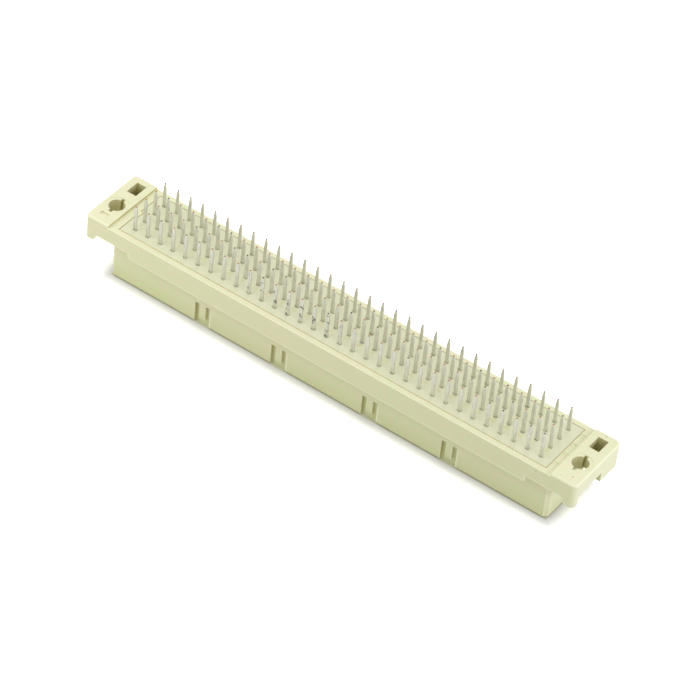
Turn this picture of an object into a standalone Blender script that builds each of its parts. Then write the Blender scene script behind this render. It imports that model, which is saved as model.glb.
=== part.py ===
"""Female backplane connector, four rows of 32 contacts on a 2.54 mm grid.

The origin is the middle of the mating face, which is the plane z = 0. The
solder tails point up, +Z, and the rows of contacts run along X. The ear tops
are the plane that seats on the circuit board.
"""

import bmesh
import bpy

MM = 0.001

# Contact grid
PITCH = 2.54 * MM
COLUMNS = 32
ROW_LETTERS = "abcd"

# Contact, stamped from strip
TAIL_WIDTH = 0.6 * MM
STRIP_THICKNESS = 0.36 * MM
TAIL_REACH = 4.83 * MM  # plate top to tip
TIP_TAPER = 0.9 * MM
TIP_WIDTH = 0.3 * MM
TIP_THICKNESS = 0.22 * MM
FORK_WIDTH = 1.0 * MM
FORK_SLOT_WIDTH = 0.4 * MM
FORK_SLOT_LENGTH = 4.2 * MM
FORK_LIFT = 1.6 * MM  # mating face to the fork's end
SHOULDER_DROP = 0.3 * MM  # pocket floor to the contact's shoulder
CONTACT_CLEARANCE = 0.1 * MM

# Locating plate
PLATE_THICKNESS = 1.2 * MM
PLATE_END_MARGIN = 1.88 * MM  # last contact to the plate's end
PLATE_SIDE_MARGIN = 1.47 * MM
PLATE_GAP = 0.2 * MM
KEY_DEPTH = 0.5 * MM
KEY_WIDTH = 1.5 * MM
KEY_OFFSET = -0.52 * MM  # along Y, from the middle of the left end

# Flange with its two ears
SEAT_HEIGHT = 11.1 * MM  # mating face to ear tops
EAR_RISE = 0.47 * MM
EAR_LENGTH = 4.65 * MM
END_STRIP = 1.4 * MM  # pocket to ear
RIM_WIDTH = 1.02 * MM
FLANGE_THICKNESS = 2.95 * MM
EAR_CORNER_RADIUS = 0.9 * MM
TOP_EDGE_BEVEL = 0.2 * MM
CORNER_SEGMENTS = 5

# Skirt panels below the flange's long sides
PANEL_DROP = 1.12 * MM
PANEL_INSET = 4.18 * MM  # ear step to panel end
PANEL_CORNER_RADIUS = 0.5 * MM

# Feet below each ear, and the channel between them
FOOT_DROP = 1.3 * MM
FOOT_WIDTH = 2.5 * MM
FOOT_SLANT = 0.8 * MM
FRONT_FOOT_DEPTH = 1.3 * MM
BACK_FOOT_DEPTH = 5.2 * MM
CHANNEL_RISE = 0.7 * MM
CHANNEL_LENGTH = 4.1 * MM

# Ear holes
HOLE_INSET = 2.5 * MM  # ear end to hole centres
SCREW_HOLE_DIAMETER = 2.8 * MM
SCREW_HOLE_Y = -1.45 * MM
NOTCH_SPAN = 3.8 * MM
NOTCH_WIDTH = 0.62 * MM
SPOT_FACE_DIAMETER = 4.0 * MM
SPOT_FACE_DEPTH = 0.06 * MM
SQUARE_HOLE_WIDTH = 1.86 * MM
SQUARE_HOLE_LENGTH = 2.82 * MM
SQUARE_HOLE_Y = 3.68 * MM
SQUARE_HOLE_FLOOR = 0.42 * MM  # flange left below the hole
HOLE_SEGMENTS = 32

# Plug body
BODY_END_MARGIN = 3.38 * MM  # last contact to the body's end
BODY_SIDE_MARGIN = 1.49 * MM
BODY_CORNER_CHAMFER = 0.6 * MM
LEAD_IN_CHAMFER = 0.4 * MM
CAVITY_WIDTH = 1.3 * MM
MOUTH_WIDTH = 1.6 * MM
MOUTH_DEPTH = 0.4 * MM

# Windows in the plug body's long sides
WINDOW_PITCHES = (-9.5, -3.5, 3.5, 9.5)
WINDOW_WIDTH = 2.93 * MM
WINDOW_HEIGHT = 4.3 * MM
WINDOW_DEPTH = 0.6 * MM
TONGUE_WIDTH = 1.2 * MM
TONGUE_LIFT = 1.43 * MM

# Overrun of a cutter past the face that it opens
REACH = 1.0 * MM

# Sizes that follow from those above
GRID_HALF_LENGTH = (COLUMNS - 1) / 2 * PITCH
GRID_HALF_WIDTH = (len(ROW_LETTERS) - 1) / 2 * PITCH
PLATE_HALF_LENGTH = GRID_HALF_LENGTH + PLATE_END_MARGIN
PLATE_HALF_WIDTH = GRID_HALF_WIDTH + PLATE_SIDE_MARGIN
POCKET_HALF_LENGTH = PLATE_HALF_LENGTH + PLATE_GAP
POCKET_HALF_WIDTH = PLATE_HALF_WIDTH + PLATE_GAP
STEP_X = POCKET_HALF_LENGTH + END_STRIP
HALF_LENGTH = STEP_X + EAR_LENGTH
HALF_WIDTH = POCKET_HALF_WIDTH + RIM_WIDTH
HOLE_X = HALF_LENGTH - HOLE_INSET
BODY_HALF_LENGTH = GRID_HALF_LENGTH + BODY_END_MARGIN
BODY_HALF_WIDTH = GRID_HALF_WIDTH + BODY_SIDE_MARGIN
WINDOW_FLOOR = BODY_HALF_WIDTH - WINDOW_DEPTH
PLATE_TOP = SEAT_HEIGHT - EAR_RISE
PLATE_BOTTOM = PLATE_TOP - PLATE_THICKNESS
POCKET_FLOOR = PLATE_BOTTOM - PLATE_GAP
FLANGE_BOTTOM = PLATE_TOP - FLANGE_THICKNESS
CHANNEL_ROOF = FLANGE_BOTTOM + CHANNEL_RISE
PANEL_BOTTOM = FLANGE_BOTTOM - PANEL_DROP
PANEL_HALF_LENGTH = STEP_X - PANEL_INSET
FOOT_BOTTOM = FLANGE_BOTTOM - FOOT_DROP


def clear_scene():
    for obj in list(bpy.data.objects):
        bpy.data.objects.remove(obj)


def material(name, colour, roughness, metallic=0.0):
    """A Principled material of one plain finish."""
    made = bpy.data.materials.new(name)
    made.use_nodes = True
    shader = made.node_tree.nodes["Principled BSDF"]
    shader.inputs["Base Color"].default_value = (*colour, 1.0)
    shader.inputs["Roughness"].default_value = roughness
    shader.inputs["Metallic"].default_value = metallic
    return made


def mesh_from(name, bm):
    """A mesh made from a bmesh, with its normals facing outwards."""
    bmesh.ops.recalc_face_normals(bm, faces=bm.faces)
    mesh = bpy.data.meshes.new(name)
    bm.to_mesh(mesh)
    bm.free()
    return mesh


def object_from(name, bm, collection=None):
    """A mesh object made from a bmesh, in the scene or in a collection."""
    obj = bpy.data.objects.new(name, mesh_from(name, bm))
    (collection or bpy.context.scene.collection).objects.link(obj)
    return obj


def helper_group(name):
    """A collection of shapes that only cut or join, so none of them renders."""
    group = bpy.data.collections.new(name)
    group.hide_render = True
    bpy.context.scene.collection.children.link(group)
    return group


def helper(name, bm, group):
    """A shape that only cuts or joins, drawn as wire."""
    obj = object_from(name, bm, group)
    obj.hide_render = True
    obj.display_type = "WIRE"
    return obj


def add_box(bm, low, high):
    """A box between two corners, added to the bmesh."""
    made = bmesh.ops.create_cube(bm, size=1.0)["verts"]
    for vert in made:
        vert.co = [a + (b - a) * (c + 0.5) for a, b, c in zip(low, high, vert.co)]


def add_post(bm, x, y, sections):
    """A square post on a vertical line, through sections of half width, half depth and height."""
    corners = ((-1, -1), (1, -1), (1, 1), (-1, 1))
    rings = []
    for half_width, half_depth, height in sections:
        ring = [bm.verts.new((x + i * half_width, y + j * half_depth, height)) for i, j in corners]
        rings.append(ring)
    bm.faces.new(rings[0])
    bm.faces.new(rings[-1])
    for lower, upper in zip(rings, rings[1:]):
        for side in range(len(corners)):
            bm.faces.new((lower[side - 1], lower[side], upper[side], upper[side - 1]))


def extruded(outline, offset):
    """A closed solid: a flat outline of 3-D points, extruded by an offset."""
    bm = bmesh.new()
    face = bm.faces.new([bm.verts.new(point) for point in outline])
    made = bmesh.ops.extrude_face_region(bm, geom=[face])["geom"]
    moved = [item for item in made if isinstance(item, bmesh.types.BMVert)]
    bmesh.ops.translate(bm, verts=moved, vec=offset)
    return bm


def chamfer(bm, edges, width):
    """Edges cut back to one flat."""
    bmesh.ops.bevel(
        bm, geom=edges, offset=width, affect="EDGES", segments=1, profile=0.5, material=-1
    )


def round_off(bm, edges, radius):
    """Edges rounded to a radius, with the new faces shaded smooth."""
    made = bmesh.ops.bevel(
        bm, geom=edges, offset=radius, affect="EDGES", segments=CORNER_SEGMENTS, profile=0.5, material=-1
    )
    for face in made["faces"]:
        face.smooth = True


def upright_edges(bm):
    return [edge for edge in bm.edges if abs(edge.verts[0].co.z - edge.verts[1].co.z) > REACH]


def boolean(obj, operation, operand):
    """A live Boolean modifier with a collection as its operand."""
    modifier = obj.modifiers.new(operation.title(), "BOOLEAN")
    modifier.operation = operation
    modifier.solver = "EXACT"
    modifier.operand_type = "COLLECTION"
    modifier.collection = operand


def column_x(column):
    return column * PITCH - GRID_HALF_LENGTH


def row_y(row):
    return row * PITCH - GRID_HALF_WIDTH


def flange_blank():
    """The flange with its rims chamfered, and ears that are too tall until the plan trims them."""
    ear_top = SEAT_HEIGHT + REACH
    outline = [
        (-HALF_LENGTH, FLANGE_BOTTOM),
        (-HALF_LENGTH, ear_top),
        (-STEP_X, ear_top),
        (-STEP_X, PLATE_TOP),
        (STEP_X, PLATE_TOP),
        (STEP_X, ear_top),
        (HALF_LENGTH, ear_top),
        (HALF_LENGTH, FLANGE_BOTTOM),
    ]
    bm = extruded([(x, -HALF_WIDTH, z) for x, z in outline], (0, 2 * HALF_WIDTH, 0))
    rims = []
    for edge in bm.edges:
        first, second = (vert.co for vert in edge.verts)
        below_ears = max(first.z, second.z) < SEAT_HEIGHT and abs(first.x) < HALF_LENGTH - TOP_EDGE_BEVEL
        if below_ears and first.y == second.y:
            rims.append(edge)
    chamfer(bm, rims, TOP_EDGE_BEVEL)
    return bm


def body_blank():
    """The plug body, chamfered at its upright corners and round its mating face."""
    bm = bmesh.new()
    add_box(
        bm,
        (-BODY_HALF_LENGTH, -BODY_HALF_WIDTH, 0),
        (BODY_HALF_LENGTH, BODY_HALF_WIDTH, CHANNEL_ROOF),
    )
    chamfer(bm, upright_edges(bm), BODY_CORNER_CHAMFER)
    lowest = [edge for edge in bm.edges if max(vert.co.z for vert in edge.verts) < LEAD_IN_CHAMFER]
    chamfer(bm, lowest, LEAD_IN_CHAMFER)
    return bm


def panel(side):
    """A skirt panel, flush with the flange, with round lower corners."""
    bm = bmesh.new()
    inner = side * WINDOW_FLOOR
    outer = side * HALF_WIDTH
    add_box(
        bm,
        (-PANEL_HALF_LENGTH, min(inner, outer), PANEL_BOTTOM),
        (PANEL_HALF_LENGTH, max(inner, outer), CHANNEL_ROOF),
    )
    lower_corners = []
    for edge in bm.edges:
        first, second = (vert.co for vert in edge.verts)
        if first.x == second.x and max(first.z, second.z) < FLANGE_BOTTOM:
            lower_corners.append(edge)
    round_off(bm, lower_corners, PANEL_CORNER_RADIUS)
    return bm


def foot(end, front, back):
    """A foot below an ear, from front to back along Y, with a slanted inner side."""
    outer = end * HALF_LENGTH
    outline = [
        (outer, CHANNEL_ROOF),
        (outer, FOOT_BOTTOM),
        (outer - end * (FOOT_WIDTH - FOOT_SLANT), FOOT_BOTTOM),
        (outer - end * FOOT_WIDTH, FLANGE_BOTTOM),
        (outer - end * FOOT_WIDTH, CHANNEL_ROOF),
    ]
    return extruded([(x, front, z) for x, z in outline], (0, back - front, 0))


def rounded_plan():
    """The part's plan as a tall prism, up to the ear tops: it trims the corners and chamfers the ears."""
    bm = bmesh.new()
    add_box(bm, (-HALF_LENGTH, -HALF_WIDTH, -REACH), (HALF_LENGTH, HALF_WIDTH, SEAT_HEIGHT))
    round_off(bm, upright_edges(bm), EAR_CORNER_RADIUS)
    highest = [edge for edge in bm.edges if min(vert.co.z for vert in edge.verts) > PLATE_TOP]
    chamfer(bm, highest, TOP_EDGE_BEVEL)
    return bm


def keyed_outline(half_length, half_width, key_end, key_half):
    """A rectangle in plan, stepped in at its left end round the key."""
    return [
        (-half_length, -half_width),
        (half_length, -half_width),
        (half_length, half_width),
        (-half_length, half_width),
        (-half_length, KEY_OFFSET + key_half),
        (key_end, KEY_OFFSET + key_half),
        (key_end, KEY_OFFSET - key_half),
        (-half_length, KEY_OFFSET - key_half),
    ]


def pocket():
    """The plate's pocket, less the key that stands in its left end."""
    outline = keyed_outline(
        POCKET_HALF_LENGTH, POCKET_HALF_WIDTH, KEY_DEPTH - POCKET_HALF_LENGTH, KEY_WIDTH / 2
    )
    depth = PLATE_TOP - POCKET_FLOOR
    return extruded([(x, y, POCKET_FLOOR) for x, y in outline], (0, 0, depth + REACH))


def cavities():
    """One cutter for all contact cavities, each with a funnel mouth on the mating face."""
    bm = bmesh.new()
    cavity = CAVITY_WIDTH / 2
    below = MOUTH_WIDTH - cavity  # the funnel's slope, carried one mouth depth below the face
    for row in range(len(ROW_LETTERS)):
        for column in range(COLUMNS):
            sections = [
                (below, below, -MOUTH_DEPTH),
                (cavity, cavity, MOUTH_DEPTH),
                (cavity, cavity, PLATE_TOP),
            ]
            add_post(bm, column_x(column), row_y(row), sections)
    return bm


def round_cut(x, diameter, depth):
    """A round cutter through the ear top, in line with the screw hole."""
    bm = bmesh.new()
    bmesh.ops.create_cone(
        bm,
        cap_ends=True,
        segments=HOLE_SEGMENTS,
        radius1=diameter / 2,
        radius2=diameter / 2,
        depth=2 * depth,
    )
    bmesh.ops.translate(bm, verts=bm.verts, vec=(x, SCREW_HOLE_Y, SEAT_HEIGHT))
    for face in bm.faces:
        face.smooth = len(face.verts) == 4
    return bm


def square_cut(x, y, width, length, bottom):
    """A rectangular cutter through an ear's top, down to a height."""
    bm = bmesh.new()
    add_box(
        bm,
        (x - width / 2, y - length / 2, bottom),
        (x + width / 2, y + length / 2, SEAT_HEIGHT + REACH),
    )
    return bm


def channel(end):
    """The shallow channel that runs out of the ear's end, between its feet."""
    outer = end * (HALF_LENGTH + REACH)
    inner = end * (HALF_LENGTH - CHANNEL_LENGTH)
    bm = bmesh.new()
    add_box(
        bm,
        (min(outer, inner), -HALF_WIDTH + FRONT_FOOT_DEPTH, 0),
        (max(outer, inner), HALF_WIDTH - BACK_FOOT_DEPTH, CHANNEL_ROOF),
    )
    return bm


def window(side, centre):
    """A window open at the mating face, with a tongue that hangs in its middle."""
    half = WINDOW_WIDTH / 2
    tongue = TONGUE_WIDTH / 2
    outline = [
        (-half, -REACH),
        (half, -REACH),
        (half, WINDOW_HEIGHT),
        (tongue, WINDOW_HEIGHT),
        (tongue, TONGUE_LIFT),
        (-tongue, TONGUE_LIFT),
        (-tongue, WINDOW_HEIGHT),
        (-half, WINDOW_HEIGHT),
    ]
    depth = side * (HALF_WIDTH + REACH - WINDOW_FLOOR)
    return extruded([(centre + x, side * WINDOW_FLOOR, z) for x, z in outline], (0, depth, 0))


def add_ear_cuts(group, end):
    """The holes, notches and seat of one ear, and the channel below it."""
    x = end * HOLE_X
    helper(f"channel_cut_{end}", channel(end), group)
    helper(f"screw_hole_cut_{end}", round_cut(x, SCREW_HOLE_DIAMETER, SEAT_HEIGHT), group)
    helper(f"spot_face_cut_{end}", round_cut(x, SPOT_FACE_DIAMETER, SPOT_FACE_DEPTH), group)
    helper(f"notch_cut_{end}", square_cut(x, SCREW_HOLE_Y, NOTCH_WIDTH, NOTCH_SPAN, 0), group)
    hole_bottom = FLANGE_BOTTOM + SQUARE_HOLE_FLOOR
    square = square_cut(x, SQUARE_HOLE_Y, SQUARE_HOLE_WIDTH, SQUARE_HOLE_LENGTH, hole_bottom)
    helper(f"square_hole_cut_{end}", square, group)


def make_housing(finish):
    """The one-piece moulding: flange, ears, skirt panels, feet and plug body."""
    housing = object_from("housing", flange_blank())
    forms = helper_group("housing_forms")
    plan = helper_group("housing_plan")
    cuts = helper_group("housing_cuts")
    cavity_cuts = helper_group("housing_cavities")
    helper("body_form", body_blank(), forms)
    helper("plan_form", rounded_plan(), plan)
    helper("pocket_cut", pocket(), cuts)
    helper("cavity_cut", cavities(), cavity_cuts)
    for side in (-1, 1):
        helper(f"panel_form_{side}", panel(side), forms)
        for number, pitches in enumerate(WINDOW_PITCHES):
            helper(f"window_cut_{side}_{number}", window(side, pitches * PITCH), cuts)
    for end in (-1, 1):
        front = foot(end, -HALF_WIDTH, -HALF_WIDTH + FRONT_FOOT_DEPTH)
        back = foot(end, HALF_WIDTH - BACK_FOOT_DEPTH, HALF_WIDTH)
        helper(f"front_foot_form_{end}", front, forms)
        helper(f"back_foot_form_{end}", back, forms)
        add_ear_cuts(cuts, end)
    boolean(housing, "UNION", forms)
    boolean(housing, "INTERSECT", plan)
    boolean(housing, "DIFFERENCE", cuts)
    boolean(housing, "DIFFERENCE", cavity_cuts)
    housing.data.materials.append(finish)


def contact_mesh():
    """One whole contact about its own origin, where the tail leaves the plate."""
    tail = TAIL_WIDTH / 2
    fork = FORK_WIDTH / 2
    slot = FORK_SLOT_WIDTH / 2
    shoulder = POCKET_FLOOR - SHOULDER_DROP - PLATE_TOP
    end = FORK_LIFT - PLATE_TOP
    half = [
        (TIP_WIDTH / 2, TAIL_REACH),
        (tail, TAIL_REACH - TIP_TAPER),
        (tail, shoulder),
        (fork, shoulder),
        (fork, end),
        (slot, end),
        (slot, end + FORK_SLOT_LENGTH),
    ]
    outline = half + [(-x, z) for x, z in reversed(half)]
    bm = extruded([(x, -STRIP_THICKNESS / 2, z) for x, z in outline], (0, STRIP_THICKNESS, 0))
    for vert in bm.verts:
        if vert.co.z > TAIL_REACH - TIP_TAPER / 2:
            vert.co.y *= TIP_THICKNESS / STRIP_THICKNESS
    return mesh_from("contact", bm)


def make_front_contacts(finish):
    """Row a, one object for each contact, all with the same mesh."""
    mesh = contact_mesh()
    mesh.materials.append(finish)
    for column in range(COLUMNS):
        contact = bpy.data.objects.new(f"contact_a{column + 1:02d}", mesh)
        contact.location = (column_x(column), row_y(0), PLATE_TOP)
        bpy.context.scene.collection.objects.link(contact)


def plate_blank():
    """The plate, with a notch in its left end that clears the housing's key."""
    outline = keyed_outline(
        PLATE_HALF_LENGTH,
        PLATE_HALF_WIDTH,
        KEY_DEPTH + PLATE_GAP - POCKET_HALF_LENGTH,
        KEY_WIDTH / 2 + PLATE_GAP,
    )
    return extruded([(x, y, PLATE_BOTTOM) for x, y in outline], (0, 0, PLATE_THICKNESS))


def front_slots():
    """One cutter for the slots that the separate front contacts pass through."""
    half_width = TAIL_WIDTH / 2 + CONTACT_CLEARANCE
    half_thickness = STRIP_THICKNESS / 2 + CONTACT_CLEARANCE
    bm = bmesh.new()
    for column in range(COLUMNS):
        sections = [
            (half_width, half_thickness, PLATE_BOTTOM - REACH),
            (half_width, half_thickness, PLATE_TOP + REACH),
        ]
        add_post(bm, column_x(column), row_y(0), sections)
    return bm


def carried_contacts():
    """The contacts of rows b, c and d, which the plate carries as one body with it."""
    bm = bmesh.new()
    tip = PLATE_TOP + TAIL_REACH
    for row in range(1, len(ROW_LETTERS)):
        for column in range(COLUMNS):
            sections = [
                (TAIL_WIDTH / 2, STRIP_THICKNESS / 2, FORK_LIFT),
                (TAIL_WIDTH / 2, STRIP_THICKNESS / 2, tip - TIP_TAPER),
                (TIP_WIDTH / 2, TIP_THICKNESS / 2, tip),
            ]
            add_post(bm, column_x(column), row_y(row), sections)
    return bm


def make_plate(finish):
    """The locating plate, fused with the contact rows past the file limit."""
    plate = object_from("locating_plate", plate_blank())
    cuts = helper_group("plate_cuts")
    forms = helper_group("plate_forms")
    helper("front_slots_cut", front_slots(), cuts)
    helper("carried_contacts_form", carried_contacts(), forms)
    boolean(plate, "DIFFERENCE", cuts)
    boolean(plate, "UNION", forms)
    plate.data.materials.append(finish)


def main():
    clear_scene()
    ivory_plastic = material("ivory_plastic", (0.80, 0.80, 0.55), 0.5)
    pale_plastic = material("pale_plastic", (0.77, 0.79, 0.60), 0.55)
    tin_plate = material("tin_plate", (0.72, 0.71, 0.68), 0.35, 1.0)
    make_housing(ivory_plastic)
    make_plate(pale_plastic)
    make_front_contacts(tin_plate)


main()
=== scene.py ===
"""Looks of a backplane connector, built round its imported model.

The connector lies on its mating face with the solder tails up. Each sub-assembly is a
class: the one-piece housing, the locating plate in its pocket, the four rows of contacts
that stand in both, and the raised figures. Lengths are in metres.
"""

import logging
import math
import random
from dataclasses import dataclass, field
from enum import Enum

import bmesh
import bpy
from mathutils import Matrix, Vector


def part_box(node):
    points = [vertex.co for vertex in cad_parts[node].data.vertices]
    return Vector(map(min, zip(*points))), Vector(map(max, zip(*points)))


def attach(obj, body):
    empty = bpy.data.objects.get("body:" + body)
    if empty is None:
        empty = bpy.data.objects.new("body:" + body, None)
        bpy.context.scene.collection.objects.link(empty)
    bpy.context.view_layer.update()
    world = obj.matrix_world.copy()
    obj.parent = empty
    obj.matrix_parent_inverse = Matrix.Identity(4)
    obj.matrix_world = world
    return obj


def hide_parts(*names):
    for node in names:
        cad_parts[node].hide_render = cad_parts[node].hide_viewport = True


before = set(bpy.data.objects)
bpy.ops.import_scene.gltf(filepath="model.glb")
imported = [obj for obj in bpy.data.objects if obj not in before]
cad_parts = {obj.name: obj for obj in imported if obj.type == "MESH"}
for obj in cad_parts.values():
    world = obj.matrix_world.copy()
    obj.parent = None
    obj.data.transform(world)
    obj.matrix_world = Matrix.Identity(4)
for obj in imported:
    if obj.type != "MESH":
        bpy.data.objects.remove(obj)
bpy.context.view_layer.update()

LOG = logging.getLogger("connector")
MM = 0.001
BODY = "root"
MERGE = 0.001 * MM
# Mark of the faces that carry the painted edge tone (a painted highlight on the housing, painted
# shade on the plate's rim) and the smoother roughness.
EDGE_MARK = "edge"
# Mark of the walls that get painted shade: low walls on top, hole walls and the windows' left
# jambs.
WALL_SHADE_MARK = "wall_shade"
WALL = 0.3
FACING = 0.9
LEVEL = 0.95

Colour = tuple[float, float, float]
Place = tuple[float, float, float]
Pair = tuple[float, float]
Shape = bmesh.types.BMesh
Socket = bpy.types.NodeSocket


class Slot(Enum):
    """The record's material slots."""

    HOUSING = "housing_plastic"
    PLATE = "plate_plastic"
    CONTACT = "contact_tin"


class Row(Enum):
    """The rows of contacts, from front to back."""

    A = 0
    B = 1
    C = 2
    D = 3


def centre_of(node: str) -> Vector:
    """Middle of a CAD node's box."""
    low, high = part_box(node)
    return (low + high) / 2


@dataclass(frozen=True)
class ContactGrid:
    """The grid that the contacts stand on.

    Attributes:
        left: Place of the first column along X.
        front: Place of the front row along Y.
        pitch: Distance between neighbouring contacts, along X and along Y.
        columns: Contacts in a row.
        face: Height of the locating plate's top, where the tails come out.
    """

    left: float
    front: float
    pitch: float
    columns: int
    face: float

    @classmethod
    def from_frame(cls, ear_rise: float = 0.47 * MM) -> "ContactGrid":
        """Reads the grid from the CAD nodes.

        Args:
            ear_rise: How far the ears stand above the locating plate.

        Returns:
            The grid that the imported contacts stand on.
        """
        first, second = centre_of("contact_a01"), centre_of("contact_a02")
        columns = sum(name.startswith("contact_a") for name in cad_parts)
        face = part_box("housing")[1].z - ear_rise
        return cls(first.x, first.y, second.x - first.x, columns, face)

    def column_x(self, column: int) -> float:
        """Place of a column along X, counted from 0 at the left end."""
        return self.left + column * self.pitch

    def row_y(self, row: Row) -> float:
        """Place of a row along Y."""
        return self.front + row.value * self.pitch

    def spots(self) -> list[Place]:
        """Places of all the tails on the locating plate's top, row by row."""
        return [(self.column_x(column), self.row_y(row), self.face)
                for row in Row for column in range(self.columns)]


def linked_object(name: str, data: bpy.types.ID) -> bpy.types.Object:
    """Puts a new object in the scene, at the origin.

    Args:
        name: The object's name.
        data: Its mesh, text, lamp or camera.

    Returns:
        The new object.
    """
    obj = bpy.data.objects.new(name, data)
    bpy.context.scene.collection.objects.link(obj)
    return obj


def shape_of(mesh: bpy.types.Mesh) -> Shape:
    """Copies a mesh into a new bmesh.

    Args:
        mesh: The mesh, which stays as it is.

    Returns:
        The copy.
    """
    bm = bmesh.new()
    bm.from_mesh(mesh)
    return bm


def settled(bm: Shape, mesh: bpy.types.Mesh) -> bpy.types.Mesh:
    """Puts a bmesh into a mesh, and frees the bmesh.

    Args:
        bm: The shape.
        mesh: The mesh that takes it.

    Returns:
        That mesh.
    """
    bm.to_mesh(mesh)
    bm.free()
    return mesh


def object_from(name: str, bm: Shape) -> bpy.types.Object:
    """Makes an object of a bmesh without the CAD mesh's old normals, and frees the bmesh.

    Args:
        name: The object's name.
        bm: The shape, in place in the part's frame.

    Returns:
        The new object, linked to the scene.
    """
    mesh = settled(bm, bpy.data.meshes.new(name))
    given = mesh.attributes.get("custom_normal")
    if given:
        mesh.attributes.remove(given)
    return linked_object(name, mesh)


def settle_modifiers(obj: bpy.types.Object) -> None:
    """Replaces an object's mesh by the one that its modifiers make, and drops them.

    Args:
        obj: The object, which keeps its name and place.
    """
    graph = bpy.context.evaluated_depsgraph_get()
    made = bpy.data.meshes.new_from_object(obj.evaluated_get(graph))
    obj.modifiers.clear()
    obj.data = made


def cut(obj: bpy.types.Object, cutter: bpy.types.Object) -> None:
    """Cuts one shape out of another, and removes the cutter.

    Args:
        obj: The object that is cut.
        cutter: A closed shape that isn't wanted afterwards.
    """
    modifier = obj.modifiers.new("Cut", "BOOLEAN")
    modifier.operation = "DIFFERENCE"
    modifier.solver = "EXACT"
    modifier.object = cutter
    bpy.context.view_layer.update()
    settle_modifiers(obj)
    bpy.data.objects.remove(cutter)


def add_box(bm: Shape, centre: Place, size: Place) -> list[bmesh.types.BMVert]:
    """Adds a box to a bmesh.

    Args:
        bm: The shape that the box joins.
        centre: The box's middle.
        size: Its sides along X, Y and Z.

    Returns:
        The box's corners.
    """
    matrix = Matrix.LocRotScale(Vector(centre), None, Vector(size))
    return bmesh.ops.create_cube(bm, size=1.0, matrix=matrix)["verts"]


def add_disc(bm: Shape, centre: Place, radii: Pair, depth: float,
             segments: int) -> None:
    """Adds a closed round post or cone to a bmesh.

    Args:
        bm: The shape that the disc joins.
        centre: The disc's middle.
        radii: Its radius at the bottom and at the top.
        depth: Its height.
        segments: How many flats stand for the round.
    """
    bmesh.ops.create_cone(bm, cap_ends=True, segments=segments, radius1=radii[0],
                          radius2=radii[1], depth=depth, matrix=Matrix.Translation(centre))


def round_edges(bm: Shape, edges: list[bmesh.types.BMEdge], radius: float,
                segments: int) -> list[bmesh.types.BMFace]:
    """Rounds edges off.

    Args:
        bm: The shape.
        edges: The edges to round.
        radius: How far the rounding reaches on each face.
        segments: Flats across each rounding.

    Returns:
        The faces of the roundings.
    """
    return bmesh.ops.bevel(bm, geom=edges, offset=radius, offset_type="OFFSET", affect="EDGES",
                           segments=segments, profile=0.5, material=-1, clamp_overlap=False,
                           loop_slide=True)["faces"]


def direction(azimuth: float, elevation: float) -> Vector:
    """Points away from the object.

    Args:
        azimuth: Degrees round from the front, towards the right end.
        elevation: Degrees above the horizon.

    Returns:
        A unit vector.
    """
    turn, rise = math.radians(azimuth), math.radians(elevation)
    return Vector((math.sin(turn) * math.cos(rise), -math.cos(turn) * math.cos(rise),
                   math.sin(rise)))


def shade_round(obj: bpy.types.Object, sharp_above: float = math.radians(35)) -> None:
    """Shades an object smooth, apart from its sharp edges, with flat faces kept flat.

    Args:
        obj: The object to shade.
        sharp_above: Edges that turn more than this stay sharp.
    """
    bm = shape_of(obj.data)
    bm.normal_update()
    for face in bm.faces:
        face.smooth = True
    for edge in bm.edges:
        edge.smooth = edge.calc_face_angle(math.pi) <= sharp_above
    settled(bm, obj.data)
    weighted = obj.modifiers.new("FlatFaces", "WEIGHTED_NORMAL")
    weighted.keep_sharp = True


def dress(obj: bpy.types.Object, finish: bpy.types.Material, slot: Slot,
          *nodes: str) -> None:
    """Gives a piece its material, and says what it stands for.

    Args:
        obj: The piece.
        finish: Its material.
        slot: The record's slot that the material belongs to; not used.
        *nodes: The CAD nodes that the piece replaces, if any.
    """
    obj.data.materials.clear()
    obj.data.materials.append(finish)
    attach(obj, BODY)
    if nodes:
        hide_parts(*nodes)
    LOG.info("%s: %d faces", obj.name, len(obj.data.polygons))


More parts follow.
